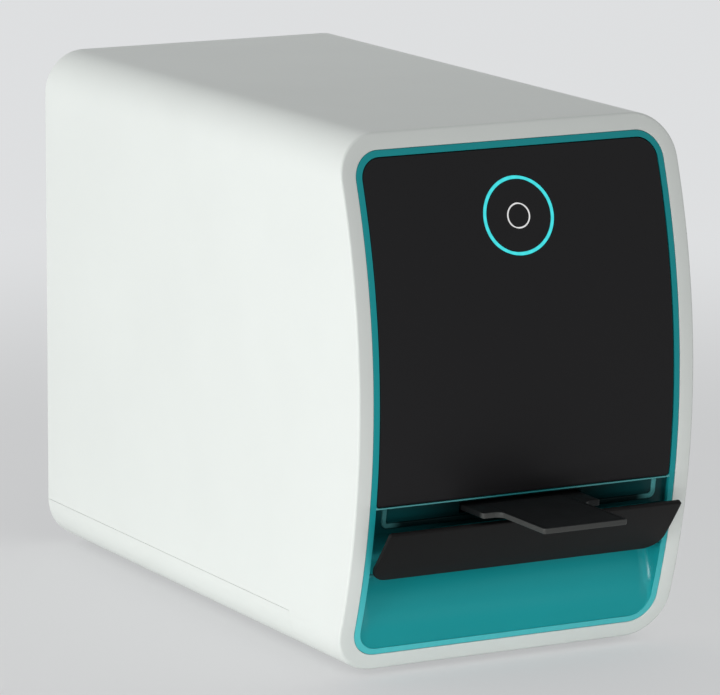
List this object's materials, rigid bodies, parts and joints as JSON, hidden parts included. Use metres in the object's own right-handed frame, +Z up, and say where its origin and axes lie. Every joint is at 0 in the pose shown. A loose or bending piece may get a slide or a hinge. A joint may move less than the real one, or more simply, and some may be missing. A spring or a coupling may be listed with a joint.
{
  "type": "phosphor plate scanner",
  "caption": "Benchtop phosphor plate scanner: bowed white case, teal bezel, black glass front with a touch ring, drop flap and a driven plate tray.",
  "frame": {"origin": "middle of the footprint, plate tray run out included, at the level of the feet's undersides", "axes": "+Z up, +Y from the front towards the rear panel, +X to the right of someone facing the rear from the front"},
  "size_m": [0.13, 0.2842, 0.1856],
  "materials": {
    "white_plastic": "satin white moulding",
    "white_base": "satin white moulding",
    "teal_plastic": "satin teal moulding",
    "black_glass": "polished black glass",
    "ring_light": "lit cyan light guide",
    "key_light": "white printed mark, lit",
    "pale_seal": "pale translucent silicone",
    "black_plastic": "fine matt black",
    "grey_tray": "matt dark grey",
    "black_pad": "matt black magnet sheet",
    "foot_rubber": "matt black rubber",
    "grey_panel": "fine-textured grey paint",
    "steel": "ground steel",
    "dark_steel": "blackened steel",
    "aluminium": "milled",
    "black_alloy": "black anodised",
    "brass": "turned",
    "mirror": "front-silvered",
    "lens_glass": "coated optical glass",
    "clear_acrylic": "polished acrylic",
    "tube_shield": "shielded tube",
    "lamp_white": "lamp diffuser",
    "circuit_board": "green solder resist"
  },
  "bodies": {
    "case": {"base_pan": "white_base", "board_post_1": "steel", "board_post_2": "steel", "board_post_3": "steel", "board_post_4": "steel", "chassis_plate": "aluminium", "data_port": "steel", "deck_post_1": "steel", "deck_post_2": "steel", "deck_post_3": "steel", "deck_post_4": "steel", "erase_lamp": "lamp_white", "flap_rod": "dark_steel", "fold_mirror": "mirror", "foot_1": "foot_rubber", "foot_2": "foot_rubber", "foot_3": "foot_rubber", "foot_4": "foot_rubber", "front_bezel": "teal_plastic", "front_glass": "black_glass", "front_stand": "aluminium", "galvo_motor": "black_alloy", "guide_rod_left": "steel", "guide_rod_right": "steel", "home_switch": "black_plastic", "key_board": "circuit_board", "laser_block": "black_alloy", "laser_module": "brass", "light_guide": "clear_acrylic", "light_ring": "ring_light", "light_seal": "pale_seal", "main_board": "circuit_board", "mirror_bracket": "black_alloy", "optics_deck": "black_alloy", "outer_shell": "white_plastic", "photomultiplier": "tube_shield", "power_converter": "aluminium", "power_jack": "black_plastic", "rear_panel": "grey_panel", "rear_screw_1": "steel", "rear_screw_2": "steel", "rear_screw_3": "steel", "rear_screw_4": "steel", "rear_stand": "aluminium", "scan_lens": "lens_glass", "stepper_motor": "black_alloy", "switch_frame": "black_plastic", "touch_ring": "key_light", "tube_clamp": "black_alloy"},
    "tray": {"plate_tray": "grey_tray", "magnet_pad": "black_pad", "tray_carriage": "black_plastic", "drive_nut": "brass"},
    "flap": {"flap_door": "black_plastic"},
    "screw": {"lead_screw": "steel"},
    "scan_mirror_body": {"scan_mirror": "mirror"},
    "rocker": {"power_rocker": "black_plastic"}
  },
  "joints": [
    {"name": "tray_slide", "type": "slide", "parent": "case", "child": "tray", "axis": [0, 1, 0], "range_m": [0, 0.12]},
    {"name": "flap_hinge", "type": "hinge", "parent": "case", "child": "flap", "pos_m": [0, -0.09462, 0.0372], "axis": [-1, 0, 0], "range_deg": [0, 28]},
    {"name": "screw_turn", "type": "hinge", "parent": "case", "child": "screw", "pos_m": [0, -0.07088, 0.04945], "axis": [0, -1, 0], "range_deg": [0, 7200]},
    {"name": "mirror_scan", "type": "hinge", "parent": "case", "child": "scan_mirror_body", "pos_m": [0, 0.04625, 0.1186], "axis": [0, 0, 1], "range_deg": [-10, 10]},
    {"name": "rocker_tip", "type": "hinge", "parent": "case", "child": "rocker", "pos_m": [-0.034, 0.13614, 0.047], "axis": [-1, 0, 0], "range_deg": [0, 18]}
  ],
  "couplings": [
    {"joint": "flap_hinge", "follows": "tray_slide", "rad_per_m": 4.0724},
    {"joint": "screw_turn", "follows": "tray_slide", "rad_per_m": 1047.2}
  ]
}
